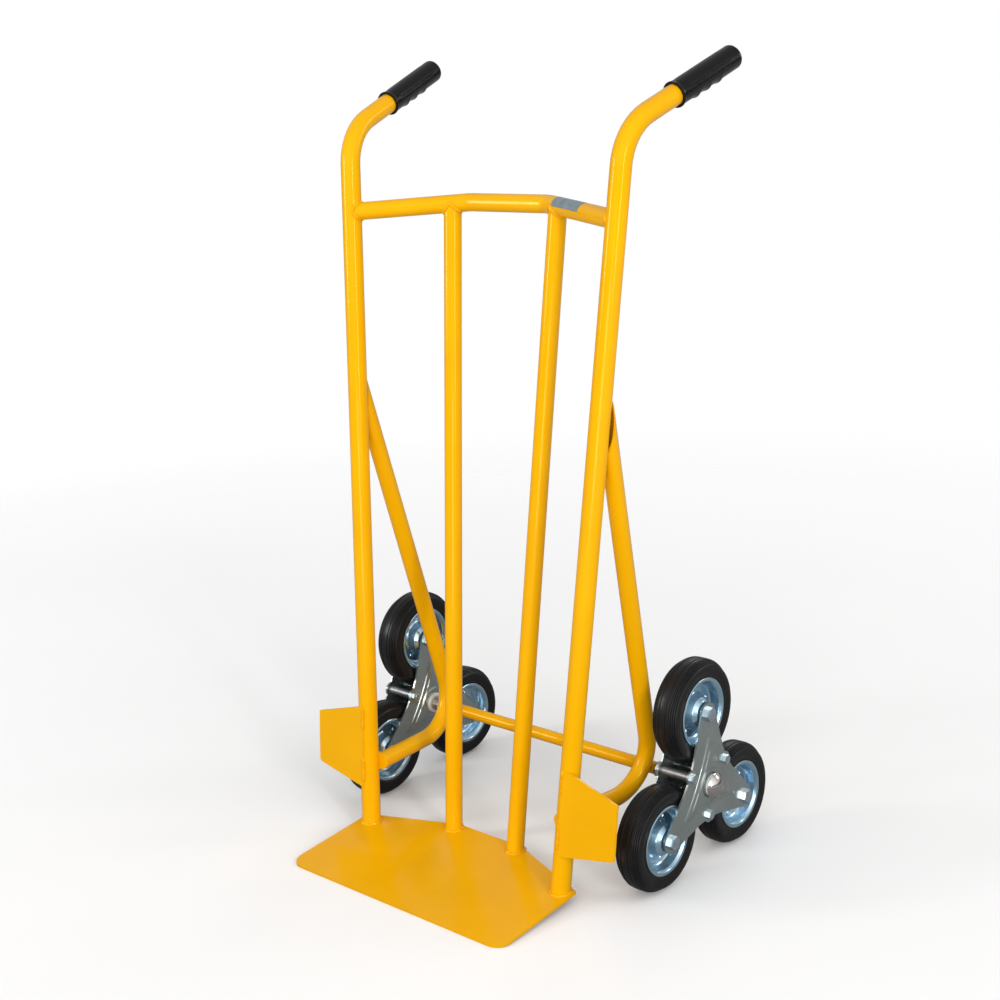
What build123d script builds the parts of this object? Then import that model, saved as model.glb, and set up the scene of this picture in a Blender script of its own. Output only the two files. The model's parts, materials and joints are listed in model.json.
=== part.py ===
from build123d import *
import os
from math import cos, radians, sin, tan, hypot

# Stair-climbing hand truck with two three-wheel stars. Millimetres, +Z up.
# +Y points to the rear, where the wheels and the grips are; the toe plate is at the front (-Y).
# "left" is -X and "right" is +X, as seen from the front. Everything is laid out from the
# midpoint between the rail feet, and moved at export so that the origin is the centre of the
# bounding box's bottom face. The truck stands on its toe plate's front edge and on the two
# lower wheels of each star.

# ---- driving dimensions ----
RAIL_D = 30.0            # outer diameter of the two main rails
TUBE_D = 27.0            # outer diameter of uprights, crossbar and rear brackets
TUBE_WALL = 2.0
LEAN = 6.0               # rearward lean of the rails, degrees from vertical
PLATE_SLOPE = 4.3        # fall of the toe plate towards its front edge, degrees
PLATE_T = 4.0
PLATE_FRONT = 160.0      # front edge to the rail feet
PLATE_HALF_W = 217.5
PLATE_REAR_SIDE = 12.0   # rear corner at the plate's side
PLATE_REAR_MID = 67.0    # rear edge behind the uprights
PLATE_FRONT_R = 24.0
PLATE_REAR_R = 5.0

RAIL_FOOT_X = 197.0      # the rails splay from here ...
RAIL_TOP_X = 254.0       # ... to here, at the crossbar
CROSSBAR_UP = 972.0      # measured along the rail from its foot
HANDLE_UP = 1092.0       # where the rail turns into the handle
HANDLE_R = 81.0
HANDLE_RISE = 21.0       # degrees above horizontal
HANDLE_SPLAY = 6.8       # degrees outwards
HANDLE_L = 236.0         # from the turn's corner to the tube's end

UPRIGHT_FOOT_X = 64.0
UPRIGHT_FOOT_BACK = 53.5
UPRIGHT_TOP_X = 102.0
CROSSBAR_BEND_X = 76.0
CROSSBAR_BEND_BACK = 74.0
CROSSBAR_BEND_RISE = 19.0
CROSSBAR_R = 40.0

BRACKET_TOP_UP = 690.5   # where the bracket's axis meets the back of the rail
BRACKET_TOP_X = 241.0
BRACKET_MITRE_BACK = 13.0
BRACKET_REAR = (205.0, 222.9, 109.7)
BRACKET_FOOT = (186.0, 19.0, 116.0)   # runs into the rail's inner side
BRACKET_R = 68.0
BRACKET_PLUG_T = 3.0

GUARD_T = 4.0
GUARD_TOP_R = 2.5
GUARD_LOW_R = 6.0
GUARD_FRONT = 16.0       # front face ahead of the rail's axis
GUARD_OUTLINE = [(200, 59.5), (302.5, 80), (305, 165), (205, 194.5)]   # (x, up the rail)

WHEEL_D = 160.0
STAR_R = 112.5           # axle to wheel centre
STAR_X = 285.0           # middle plane of the wheels
AXLE_Y = 217.0
AXLE_D = 16.0
AXLE_TUBE_D = 20.0
AXLE_TUBE_HALF = 219.0

STAR_GAP = 51.0          # between the inner faces of a star's two plates
STAR_T = 3.0
RELIEF = 5.5             # height of the pressed star and boss
BOSS_R = 28.5
ARM_TIP_R = 17.5
ARM_ROOT = (37.0, 51.0)  # half width of an arm, and how far out it has it
HUB_TUBE_R = 17.0
BUSH_R = 13.0
BUSH_FLANGE_R = 17.0
BUSH_FLANGE_T = 3.0
SPACER_R = 50.0          # axle to spacer
RUNNING = 0.05           # radial clearance of a running fit
END_GAP = 0.3            # axial clearance of a turning part

GRIP_R = 17.5
GRIP_START = 107.0
GRIP_END = 241.0

# ---- derived positions ----
SLOPE = radians(PLATE_SLOPE)
TILT = radians(LEAN)
FOOT_Z = PLATE_FRONT * tan(SLOPE) + PLATE_T / cos(SLOPE)
AXLE_Z = WHEEL_D / 2 + STAR_R / 2
FRONT_Y = -PLATE_FRONT - PLATE_T * sin(SLOPE)
REAR_Y = AXLE_Y + STAR_R * cos(radians(30)) + WHEEL_D / 2
ORIGIN_Y = (FRONT_Y + REAR_Y) / 2
PLATE_FACE = STAR_GAP / 2 + STAR_T
BOSS_FACE = PLATE_FACE + RELIEF
FLANGE_FACE = BOSS_FACE + BUSH_FLANGE_T

plate_plane = Plane(origin=(0, -PLATE_FRONT, 0), x_dir=(1, 0, 0), z_dir=(0, -sin(SLOPE), cos(SLOPE)))
back_plane = Plane(origin=(0, 0, FOOT_Z), x_dir=(1, 0, 0), z_dir=(0, -cos(TILT), sin(TILT)))
star_plane = Plane(origin=(STAR_X, AXLE_Y, AXLE_Z), x_dir=(0, 1, 0), z_dir=(1, 0, 0))


def rail_x(up):
    return RAIL_FOOT_X + (RAIL_TOP_X - RAIL_FOOT_X) * up / CROSSBAR_UP


def leaning(x, back, up):
    """A point given across, behind the rails' plane, and up along their lean."""
    return Vector(x, back * cos(TILT) + up * sin(TILT), FOOT_Z + up * cos(TILT) - back * sin(TILT))


def rod(points, radius, bend=None):
    """A round bar along straight runs joined by tangent arcs."""
    path = Line(*points) if bend is None else FilletPolyline(*points, radius=bend)
    section = Plane(origin=path @ 0, z_dir=path % 0) * Circle(radius)
    return sweep(section, path)


def tube(points, diameter, bend=None):
    """The hollow tube and its solid envelope, which neighbours are cut back to."""
    envelope = rod(points, diameter / 2, bend)
    return envelope - rod(points, diameter / 2 - TUBE_WALL, bend), envelope


def mirrored(shape):
    return mirror(shape, about=Plane.YZ)


def along_x(radius, x_low, x_high, bore=0.0):
    """A round part on the axle line."""
    part = Pos((x_low + x_high) / 2, AXLE_Y, AXLE_Z) * Rot(0, 90, 0) * Cylinder(radius, x_high - x_low)
    if bore:
        part -= Pos((x_low + x_high) / 2, AXLE_Y, AXLE_Z) * Rot(0, 90, 0) * Cylinder(bore, x_high - x_low)
    return part


def save(node, shape):
    export_step(Pos(0, -ORIGIN_Y, 0) * shape, f"parts/{node}.step")


# ---- frame ----
def toe_plate():
    """Sheet with a rear edge that steps back to carry the uprights."""
    length = PLATE_FRONT / cos(SLOPE)
    outline = Polyline(
        (-PLATE_HALF_W, 0),
        (PLATE_HALF_W, 0),
        (PLATE_HALF_W, length + PLATE_REAR_SIDE),
        (UPRIGHT_FOOT_X, length + PLATE_REAR_MID),
        (-UPRIGHT_FOOT_X, length + PLATE_REAR_MID),
        (-PLATE_HALF_W, length + PLATE_REAR_SIDE),
        close=True,
    )
    sheet = extrude(make_face(outline), PLATE_T)
    corners = sheet.edges().filter_by(Axis.Z).sort_by(Axis.Y)
    sheet = fillet(corners[:2], PLATE_FRONT_R)
    sides = sheet.edges().filter_by(Axis.Z).filter_by_position(Axis.X, PLATE_HALF_W - 1, PLATE_HALF_W + 1)
    sides += sheet.edges().filter_by(Axis.Z).filter_by_position(Axis.X, -PLATE_HALF_W - 1, 1 - PLATE_HALF_W)
    rear = sides.filter_by_position(Axis.Y, length, length + PLATE_REAR_SIDE + 1)
    return plate_plane * fillet(rear, PLATE_REAR_R)


def below_plate():
    """Everything under the toe plate's top face, to trim the tubes' feet."""
    return plate_plane * Pos(0, PLATE_FRONT, PLATE_T - 50) * Box(600, 400, 100)


def handle_direction():
    rise = radians(HANDLE_RISE)
    splay = radians(HANDLE_SPLAY)
    return Vector(cos(rise) * sin(splay), cos(rise) * cos(splay), sin(rise))


def handle_corner():
    return leaning(rail_x(HANDLE_UP), 0, HANDLE_UP)


def rail():
    corner = handle_corner()
    points = [leaning(rail_x(-20), 0, -20), corner, corner + handle_direction() * HANDLE_L]
    hollow, envelope = tube(points, RAIL_D, HANDLE_R)
    return hollow - below_plate(), envelope


def crossbar(rails):
    half = [
        leaning(RAIL_TOP_X, 0, CROSSBAR_UP),
        leaning(CROSSBAR_BEND_X, CROSSBAR_BEND_BACK, CROSSBAR_UP + CROSSBAR_BEND_RISE),
    ]
    other = [Vector(-p.X, p.Y, p.Z) for p in reversed(half)]
    hollow, envelope = tube(half + other, TUBE_D, CROSSBAR_R)
    return hollow - rails, envelope


def upright(crossbar_envelope):
    """Leans with the rails and converges towards the toe plate."""
    part_way = (RAIL_TOP_X - UPRIGHT_TOP_X) / (RAIL_TOP_X - CROSSBAR_BEND_X)
    top = leaning(UPRIGHT_TOP_X, CROSSBAR_BEND_BACK * part_way, CROSSBAR_UP + CROSSBAR_BEND_RISE * part_way)
    plate_z = FOOT_Z + UPRIGHT_FOOT_BACK * tan(SLOPE)
    foot = Vector(UPRIGHT_FOOT_X, UPRIGHT_FOOT_BACK, plate_z)
    below = foot + (foot - top).normalized() * 15
    hollow, _ = tube([below, top], TUBE_D)
    return hollow - below_plate() - crossbar_envelope


def wheel_guard(rail_envelope):
    """Flat plate across the rail's front and out to the side, which keeps the load off the wheels."""
    sheet = extrude(make_face(Polyline(*GUARD_OUTLINE, close=True)), GUARD_T)
    sheet = fillet(sheet.edges().filter_by(Axis.Z).sort_by(Axis.X)[-1:], GUARD_TOP_R)
    sheet = fillet(sheet.edges().filter_by(Axis.Z).sort_by(Axis.Y)[:2], GUARD_LOW_R)
    return back_plane * Pos(0, 0, GUARD_FRONT - GUARD_T) * sheet - rail_envelope


def rear_bracket(rail_envelope):
    """Brace from the back of the rail down to the axle and forward to the rail's foot; its end is closed."""
    crossing = leaning(BRACKET_TOP_X, BRACKET_MITRE_BACK, BRACKET_TOP_UP)
    rear = Vector(*BRACKET_REAR)
    above = crossing + (crossing - rear).normalized() * 70
    foot = Vector(*BRACKET_FOOT)
    hollow, _ = tube([above, rear, foot], TUBE_D, BRACKET_R)
    hollow += rod([foot, foot + (rear - foot).normalized() * BRACKET_PLUG_T], TUBE_D / 2)
    mitre = back_plane * Pos(BRACKET_TOP_X, BRACKET_TOP_UP, 50 - BRACKET_MITRE_BACK) * Box(90, 400, 100)
    axle_notch = along_x(AXLE_TUBE_D / 2, 150, 260)
    return (hollow - mitre - rail_envelope - axle_notch).solids().sort_by(SortBy.VOLUME)[-1]


def grip():
    """Closed plastic sleeve with a rolled rim, pushed over the handle's end."""
    inner = RAIL_D / 2
    shape = Polyline(
        (inner, GRIP_START),
        (GRIP_R + 1.5, GRIP_START),
        (GRIP_R + 1.5, GRIP_START + 4),
        (GRIP_R, GRIP_START + 6),
        (GRIP_R, GRIP_END),
        (0, GRIP_END),
        (0, HANDLE_L),
        (inner, HANDLE_L),
        close=True,
    )
    sleeve = revolve(Plane.XZ * make_face(shape), Axis.Z)
    end = sleeve.edges().filter_by(GeomType.CIRCLE).group_by(Axis.Z)[-1]
    sleeve = fillet(end, 4.5)
    return Plane(origin=handle_corner(), z_dir=handle_direction()) * sleeve


# ---- axle ----
def axle_washers():
    """A sleeve between the axle tube and each star, and a washer outside the star."""
    inner = STAR_X - FLANGE_FACE - END_GAP
    outer = STAR_X + FLANGE_FACE + END_GAP
    sleeve = along_x(12, AXLE_TUBE_HALF + END_GAP, inner, AXLE_D / 2)
    washer = along_x(18, outer, outer + 1.5, AXLE_D / 2)
    return [sleeve, washer]


def axle_cap():
    """Domed push-on cap that covers the axle's end."""
    base = STAR_X + FLANGE_FACE + END_GAP + 1.5
    rise = 11.0
    radius = 20.0
    sphere = (radius**2 + rise**2) / (2 * rise)
    dome = Sphere(sphere) - Sphere(sphere - 1)
    dome = split(dome, bisect_by=Plane.XY.offset(sphere - rise), keep=Keep.TOP)
    dome = Pos(0, 0, rise - sphere) * dome
    socket = Cylinder(AXLE_D / 2 + 1.2, rise - 0.8) - Cylinder(AXLE_D / 2, rise - 0.8)
    socket = Pos(0, 0, rise / 2 - 0.4) * socket
    cut = Pos(0, 0, rise - sphere) * Sphere(sphere - 0.5)
    return Pos(base, AXLE_Y, AXLE_Z) * Rot(0, 90, 0) * (dome + (socket & cut))


# ---- star ----
def polar(radius, degrees_round):
    return (radius * cos(radians(degrees_round)), radius * sin(radians(degrees_round)))


def plate_outline():
    """Three tapered arms with round ends, and a small ear at each spacer between them."""
    face = None
    for turn in (0, 120, 240):
        half, out = ARM_ROOT
        arm = make_hull(
            [Pos(STAR_R, 0) * Edge.make_circle(ARM_TIP_R)]
            + list(Polyline((0, -half), (out, -half), (out, half), (0, half), close=True).edges())
        )
        ear = Rot(0, 0, 60) * Pos(SPACER_R, 0) * Circle(12)
        piece = Rot(0, 0, 90 + turn) * (arm + ear)
        face = piece if face is None else face + piece
    return face


def relief_block(base_z):
    """The pressed three-pointed rise with its round boss."""
    low = [polar(76 if k % 2 == 0 else 36, 90 + 60 * k) for k in range(6)]
    high = [polar(31 if k % 2 == 0 else 27, 90 + 60 * k) for k in range(6)]
    levels = ((low, base_z), (high, base_z + RELIEF))
    faces = [Pos(0, 0, z) * make_face(Polyline(*ring, close=True)) for ring, z in levels]
    boss = Pos(0, 0, base_z + RELIEF / 2) * Cone(BOSS_R + 3, BOSS_R, RELIEF)
    return loft(faces, ruled=True) + boss


def star_plate():
    """Outer plate; its wheel side is at z = 0 and its relief points up."""
    plate = extrude(plate_outline(), STAR_T) + relief_block(STAR_T) - relief_block(0)
    plate -= Pos(0, 0, STAR_T / 2 + RELIEF) * Cylinder(BUSH_R, 4 * STAR_T)
    for turn in (90, 210, 330):
        plate -= Pos(*polar(STAR_R, turn), STAR_T / 2) * Cylinder(6.1, 2 * STAR_T)
        plate -= Pos(*polar(SPACER_R, turn + 60), STAR_T / 2) * Cylinder(4.1, 2 * STAR_T)
    return plate


def hexagon(across_flats, height):
    return extrude(RegularPolygon(across_flats / 2, 6, major_radius=False), height)


def bolt(shank_r, across_flats, head_h, tail):
    """Head on the outer plate's face, shank down through both plates."""
    head = chamfer(hexagon(across_flats, head_h).edges().group_by(Axis.Z)[-1], 1)
    shank = Pos(0, 0, -(2 * PLATE_FACE + tail) / 2) * Cylinder(shank_r, 2 * PLATE_FACE + tail)
    return Pos(0, 0, PLATE_FACE) * (head + shank)


def nut(bore_r, across_flats, height):
    body = hexagon(across_flats, height) - Pos(0, 0, height / 2) * Cylinder(bore_r, height)
    return Pos(0, 0, -PLATE_FACE - height) * body


def bush():
    """Flanged nylon bush; the flange's outer face is at FLANGE_FACE."""
    barrel = Pos(0, 0, BOSS_FACE - 11) * Cylinder(BUSH_R, 22)
    flange = Pos(0, 0, BOSS_FACE + BUSH_FLANGE_T / 2) * Cylinder(BUSH_FLANGE_R, BUSH_FLANGE_T)
    bore = Pos(0, 0, BOSS_FACE - 10) * Cylinder(AXLE_D / 2 + RUNNING, 40)
    return fillet((barrel + flange).edges().group_by(Axis.Z)[-1], 1) - bore


def star_nodes():
    """Every part of a star but its wheels, in the star's own plane."""
    plate = star_plate()
    half_tube = STAR_GAP / 2 + RELIEF
    wheel_places = [polar(STAR_R, turn) for turn in (90, 210, 330)]
    spacer_places = [polar(SPACER_R, turn) for turn in (30, 150, 270)]
    spacer = Cylinder(7, STAR_GAP) - Cylinder(4.1, STAR_GAP)
    return {
        "outer_plate": [Pos(0, 0, STAR_GAP / 2) * plate],
        "inner_plate": [mirror(Pos(0, 0, STAR_GAP / 2) * plate, about=Plane.XY)],
        "hub_tube": [Cylinder(HUB_TUBE_R, 2 * half_tube) - Cylinder(BUSH_R, 2 * half_tube)],
        "bushes": [bush(), mirror(bush(), about=Plane.XY)],
        "spacers": [Pos(*place, 0) * spacer for place in spacer_places],
        "wheel_bolts": [Pos(*place, 0) * bolt(6, 19, 7.5, 12) for place in wheel_places],
        "spacer_bolts": [Pos(*place, 0) * bolt(4, 13, 5.3, 8) for place in spacer_places],
        "nuts": [Pos(*place, 0) * nut(6, 19, 10) for place in wheel_places]
        + [Pos(*place, 0) * nut(4, 13, 6.5) for place in spacer_places],
    }


# ---- wheel ----
# (radius, out)
RIM_LINE = [(14.0, 20.0), (20.0, 18.5), (26.5, 1.0), (42.0, 1.0), (46.5, 16.0), (52.5, 19.2)]
RIM_T = 2.0
HUB_R = 13.0
HUB_HALF = 22.0
TREAD = [(54.5, 19.5), (58.0, 21.5), (68.0, 22.0), (75.0, 20.6), (78.6, 16.8), (80.0, 9.0)]


def offset_line(points, distance):
    """The same polyline moved sideways, with mitred corners."""
    moved = []
    for k, (r, z) in enumerate(points):
        before = points[max(k - 1, 0)]
        after = points[min(k + 1, len(points) - 1)]
        near = (r - before[0], z - before[1]) if k else (after[0] - r, after[1] - z)
        far = (after[0] - r, after[1] - z) if k < len(points) - 1 else near
        normals = [(-v[1] / hypot(*v), v[0] / hypot(*v)) for v in (near, far)]
        mid = (normals[0][0] + normals[1][0], normals[0][1] + normals[1][1])
        scale = 2 * distance / (mid[0] ** 2 + mid[1] ** 2)
        moved.append((r + mid[0] * scale, z + mid[1] * scale))
    return moved


def turned(outline):
    """Solid of revolution about the wheel's axis from (radius, out) points."""
    return revolve(Plane.XZ * make_face(Polyline(*outline, close=True)), Axis.Z)


def rim_half():
    """Pressed dish: hub cone, flat web on the middle plane, barrel and bead flange."""
    outside = offset_line(RIM_LINE, RIM_T / 2)
    inside = offset_line(RIM_LINE, -RIM_T / 2)
    bore = Cylinder(HUB_R, 60)
    return turned(outside + inside[::-1]) - bore


def tyre():
    """Solid rubber ring, seated on the two rim barrels."""
    seat = offset_line(RIM_LINE, -RIM_T / 2)[3:]
    half = seat + TREAD
    return turned(half + [(r, -z) for r, z in reversed(half)])


def wheel_hub():
    """Roller bearing housing with its inner sleeve; it turns on the wheel bolt."""
    sleeve = Cylinder(9, STAR_GAP - 2 * END_GAP)
    return Cylinder(HUB_R, 2 * HUB_HALF) + sleeve - Cylinder(6 + RUNNING, STAR_GAP)


def wheel_nodes():
    dish = rim_half()
    return {
        "tyre": tyre(),
        "rim_outer": dish,
        "rim_inner": mirror(dish, about=Plane.XY),
        "hub": wheel_hub(),
    }


# ---- write every node ----
def main():
    os.makedirs("parts", exist_ok=True)
    rail_tube, rail_envelope = rail()
    both_rails = rail_envelope + mirrored(rail_envelope)
    bar, bar_envelope = crossbar(both_rails)

    paired = {
        "rail": rail_tube,
        "upright": upright(bar_envelope),
        "wheel_guard": wheel_guard(rail_envelope),
        "rear_bracket": rear_bracket(rail_envelope),
        "grip": grip(),
    }
    for name, shape in paired.items():
        save(f"{name}_right", shape)
        save(f"{name}_left", mirrored(shape))
    save("top_crossbar", bar)
    save("toe_plate", toe_plate())

    bar_half = STAR_X + FLANGE_FACE + END_GAP + 4
    washers = axle_washers()
    cap = axle_cap()
    save("axle_bar", along_x(AXLE_D / 2, -bar_half, bar_half))
    save("axle_tube", along_x(AXLE_TUBE_D / 2, -AXLE_TUBE_HALF, AXLE_TUBE_HALF, AXLE_D / 2))
    save("axle_washers", Compound(washers + [mirrored(part) for part in washers]))
    save("axle_caps", Compound([cap, mirrored(cap)]))

    for name, pieces in star_nodes().items():
        placed = [star_plane * piece for piece in pieces]
        save(f"star_right_{name}", Compound(placed))
        save(f"star_left_{name}", Compound([mirrored(piece) for piece in placed]))

    for name, shape in wheel_nodes().items():
        for place, turn in (("top", 90), ("front", 210), ("rear", 330)):
            placed = star_plane * Pos(*polar(STAR_R, turn), 0) * shape
            save(f"wheel_right_{place}_{name}", placed)
            save(f"wheel_left_{place}_{name}", mirrored(placed))


main()
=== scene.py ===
import json
import math
import random
from functools import partial

import bmesh
import bpy
from mathutils import Matrix, Vector
from mathutils.geometry import delaunay_2d_cdt


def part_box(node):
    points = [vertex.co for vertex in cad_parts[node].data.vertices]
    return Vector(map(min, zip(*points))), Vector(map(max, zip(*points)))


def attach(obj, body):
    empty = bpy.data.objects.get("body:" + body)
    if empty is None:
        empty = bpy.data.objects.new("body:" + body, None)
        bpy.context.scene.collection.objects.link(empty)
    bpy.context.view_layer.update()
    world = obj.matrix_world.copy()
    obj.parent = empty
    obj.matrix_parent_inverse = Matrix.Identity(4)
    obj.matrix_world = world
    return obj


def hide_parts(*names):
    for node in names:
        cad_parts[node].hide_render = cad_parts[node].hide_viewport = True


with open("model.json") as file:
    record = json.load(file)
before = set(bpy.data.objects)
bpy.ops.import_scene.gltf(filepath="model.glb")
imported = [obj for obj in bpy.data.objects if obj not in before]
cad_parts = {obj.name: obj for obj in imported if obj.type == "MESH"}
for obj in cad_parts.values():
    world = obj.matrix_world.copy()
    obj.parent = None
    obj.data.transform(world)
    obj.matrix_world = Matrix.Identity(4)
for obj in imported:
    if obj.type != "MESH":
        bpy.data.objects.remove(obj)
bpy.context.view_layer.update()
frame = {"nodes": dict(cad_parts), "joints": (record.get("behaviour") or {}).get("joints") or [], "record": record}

# Looks for the stair-climbing hand truck. Metres; +Y to the rear, the toe plate in front.
# The frame's tubes and plates keep their CAD shapes. Wheels, star plates, fasteners, grips, axle
# caps, welds and the label are built here in fine detail and ride on the same bodies.

NODES = frame["nodes"]
JOINTS = {joint["name"]: joint for joint in frame["joints"]}
SIDES = (("left", -1), ("right", 1))
PLACES = ("top", "front", "rear")
ARM_TURNS = (90, 210, 330)      # the three arms of a star, degrees
MM = 0.001
TAU = 2 * math.pi

RAIL_R = 0.015
TUBE_R = 0.0135                 # uprights, crossbar and brackets
PLATE_SHEET = 0.004             # toe plate

LIGHT_AZIMUTH = 38.0            # the surround is brightest here, degrees right of the front
LIGHT_ELEVATION = 2.0
SURROUND = 0.52                 # its strength behind the truck ...
FRONT_GLOW = 1.30               # ... and how much more it has in front
HORIZON = 0.15                  # what the band along the horizon keeps of it
FLOOR_BOUNCE = 0.30             # grey that metals see of the floor


# ---------------------------------------------------------------- materials
class Nodes:
    """A node tree under construction."""

    def __init__(self, tree):
        self.tree = tree

    def node(self, kind, **settings):
        made = self.tree.nodes.new(kind)
        for key, value in settings.items():
            setattr(made, key, value)
        return made

    def link(self, source, target):
        self.tree.links.new(source, target)

    def spread(self, value, low, high, out_low, out_high):
        """Maps value from one range to another."""
        made = self.node("ShaderNodeMapRange")
        for key, number in (("From Min", low), ("From Max", high), ("To Min", out_low), ("To Max", out_high)):
            made.inputs[key].default_value = number
        self.link(value, made.inputs["Value"])
        return made.outputs["Result"]

    def math(self, operation, first, second=0.0):
        made = self.node("ShaderNodeMath", operation=operation)
        for socket, value in zip(made.inputs, (first, second)):
            if isinstance(value, (int, float)):
                socket.default_value = value
            else:
                self.link(value, socket)
        return made.outputs["Value"]


class Shader(Nodes):
    """A node material under construction."""

    def __init__(self, name):
        self.material = bpy.data.materials.new(name)
        self.material.use_nodes = True
        super().__init__(self.material.node_tree)
        self.bsdf = self.tree.nodes["Principled BSDF"]
        self.place = self.node("ShaderNodeTexCoord").outputs["Object"]

    def set(self, **values):
        """Uniform values, straight on the shader's sockets."""
        for key, value in values.items():
            self.bsdf.inputs[key.replace("_", " ")].default_value = value

    def stretched(self, scale):
        """The object's coordinates, scaled per axis."""
        mapping = self.node("ShaderNodeMapping")
        mapping.inputs["Scale"].default_value = scale
        self.link(self.place, mapping.inputs["Vector"])
        return mapping.outputs["Vector"]

    def noise(self, scale, detail=2.0, roughness=0.5, distortion=0.0, vector=None):
        made = self.node("ShaderNodeTexNoise")
        made.inputs["Scale"].default_value = scale
        made.inputs["Detail"].default_value = detail
        made.inputs["Roughness"].default_value = roughness
        made.inputs["Distortion"].default_value = distortion
        self.link(vector or self.place, made.inputs["Vector"])
        return made.outputs["Fac"]

    def cells(self, scale):
        made = self.node("ShaderNodeTexVoronoi")
        made.inputs["Scale"].default_value = scale
        self.link(self.place, made.inputs["Vector"])
        return made.outputs["Distance"]

    def ramp(self, value, stops):
        """Colour ramp from (position, colour) stops."""
        made = self.node("ShaderNodeValToRGB")
        elements = made.color_ramp.elements
        while len(elements) < len(stops):
            elements.new(0.5)
        for element, (position, colour) in zip(elements, stops):
            element.position = position
            element.color = (*colour, 1.0)
        self.link(value, made.inputs["Fac"])
        return made.outputs["Color"]

    def mix(self, factor, first, second):
        """Blends two colours."""
        made = self.node("ShaderNodeMix", data_type="RGBA")
        sockets = (made.inputs["Factor"], made.inputs[6], made.inputs[7])
        for socket, value in zip(sockets, (factor, first, second)):
            if isinstance(value, tuple):
                socket.default_value = (*value, 1.0)
            else:
                self.link(value, socket)
        return made.outputs[2]

    def bump(self, *layers):
        """Bump layers of (height, strength, distance in metres), one on the other."""
        normal = None
        for height, strength, distance in layers:
            made = self.node("ShaderNodeBump")
            made.inputs["Strength"].default_value = strength
            made.inputs["Distance"].default_value = distance
            self.link(height, made.inputs["Height"])
            if normal is not None:
                self.link(normal, made.inputs["Normal"])
            normal = made.outputs["Normal"]
        self.link(normal, self.bsdf.inputs["Normal"])

    def colour(self, socket):
        self.link(socket, self.bsdf.inputs["Base Color"])

    def roughness(self, socket):
        self.link(socket, self.bsdf.inputs["Roughness"])

    def tones(self, scale, detail, first, second):
        """A colour that wanders between two tones."""
        self.colour(self.ramp(self.noise(scale, detail), [(0.3, first), (0.7, second)]))

    def rough(self, scale, detail, low, high):
        """Roughness that wanders between two values."""
        self.roughness(self.spread(self.noise(scale, detail), 0.3, 0.7, low, high))


def powder_coat():
    """Glossy yellow powder coat: fine orange peel, slow changes in film thickness, pin-head specks."""
    s = Shader("yellow_powder_coat")
    film = s.noise(9.0, 3.0)
    tone = s.ramp(film, [(0.3, (0.765, 0.370, 0.0)), (0.7, (0.815, 0.400, 0.0005))])
    specks = s.spread(s.cells(260.0), 0.0, 0.06, 1.0, 0.0)
    rare = s.math("MULTIPLY", specks, s.spread(s.noise(31.0), 0.62, 0.66, 0.0, 1.0))
    s.colour(s.mix(rare, tone, (0.50, 0.21, 0.0)))
    s.rough(40.0, 3.0, 0.19, 0.26)
    s.set(Specular_IOR_Level=0.36, Specular_Tint=(1.0, 0.66, 0.08, 1.0))
    s.set(Coat_Weight=0.14, Coat_Roughness=0.08, Coat_IOR=1.45)
    s.bump((s.noise(420.0, 2.0), 0.22, 0.0001), (s.noise(60.0, 2.0), 0.12, 0.0002))
    return s.material


def weld_paint():
    """The same coat over a weld, where it pools and shines a little more."""
    s = Shader("yellow_coat_over_weld")
    s.tones(140.0, 3.0, (0.70, 0.31, 0.0), (0.82, 0.39, 0.0005))
    s.rough(200.0, 3.0, 0.12, 0.24)
    s.set(Specular_IOR_Level=0.36, Specular_Tint=(1.0, 0.66, 0.08, 1.0))
    s.set(Coat_Weight=0.2, Coat_Roughness=0.08, Coat_IOR=1.45)
    s.bump((s.noise(700.0, 3.0), 0.4, 0.0002), (s.noise(1500.0, 2.0), 0.2, 0.0001))
    return s.material


def satin_zinc():
    """Rolled sheet with satin zinc: faint grain and slow cloudy changes."""
    s = Shader("satin_zinc_sheet")
    grain = s.noise(60.0, 4.0, 0.6, vector=s.stretched((1.0, 1.6, 14.0)))
    clouds = s.noise(16.0, 3.0, 0.5, 0.3)
    # The greys are the zinc's own; their cool blue-green cast is a painted reflection of a bluish sky.
    stops = [
        (0.3, (0.38, 0.43, 0.415)),
        (0.55, (0.41, 0.465, 0.45)),
        (0.75, (0.44, 0.50, 0.485)),
    ]
    base = s.ramp(clouds, stops)
    s.colour(s.mix(s.spread(grain, 0.35, 0.7, 0.0, 0.22), base, (0.31, 0.35, 0.34)))
    s.roughness(s.spread(s.math("ADD", clouds, s.math("MULTIPLY", grain, 0.3)), 0.4, 0.9, 0.22, 0.30))
    s.set(Metallic=0.87)
    s.bump((grain, 0.05, 0.00005), (s.noise(800.0, 2.0), 0.05, 0.00004))
    return s.material


def rim_zinc():
    """Bright zinc on the pressed rims, with rainbow hints where the film is thicker; its blue is a painted
    reflection of a bluish sky.
    """
    s = Shader("rim_zinc_with_painted_sky_blue")
    film = s.noise(14.0, 2.0, 0.5, 0.8)
    # Painted reflection: the blue in these stops stands in for a bluish sky mirrored in the rims.
    stops = [
        (0.28, (0.32, 0.51, 0.66)),
        (0.46, (0.42, 0.60, 0.74)),
        (0.60, (0.52, 0.65, 0.70)),
        (0.76, (0.34, 0.54, 0.74)),
    ]
    s.colour(s.ramp(film, stops))
    s.rough(90.0, 3.0, 0.17, 0.25)
    rings = s.noise(3.0, 3.0, 0.5, vector=s.stretched((1.0, 1.0, 90.0)))
    s.set(Metallic=0.9)
    s.bump((rings, 0.02, 0.00006), (s.noise(40.0, 2.0), 0.012, 0.0002))
    return s.material


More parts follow.
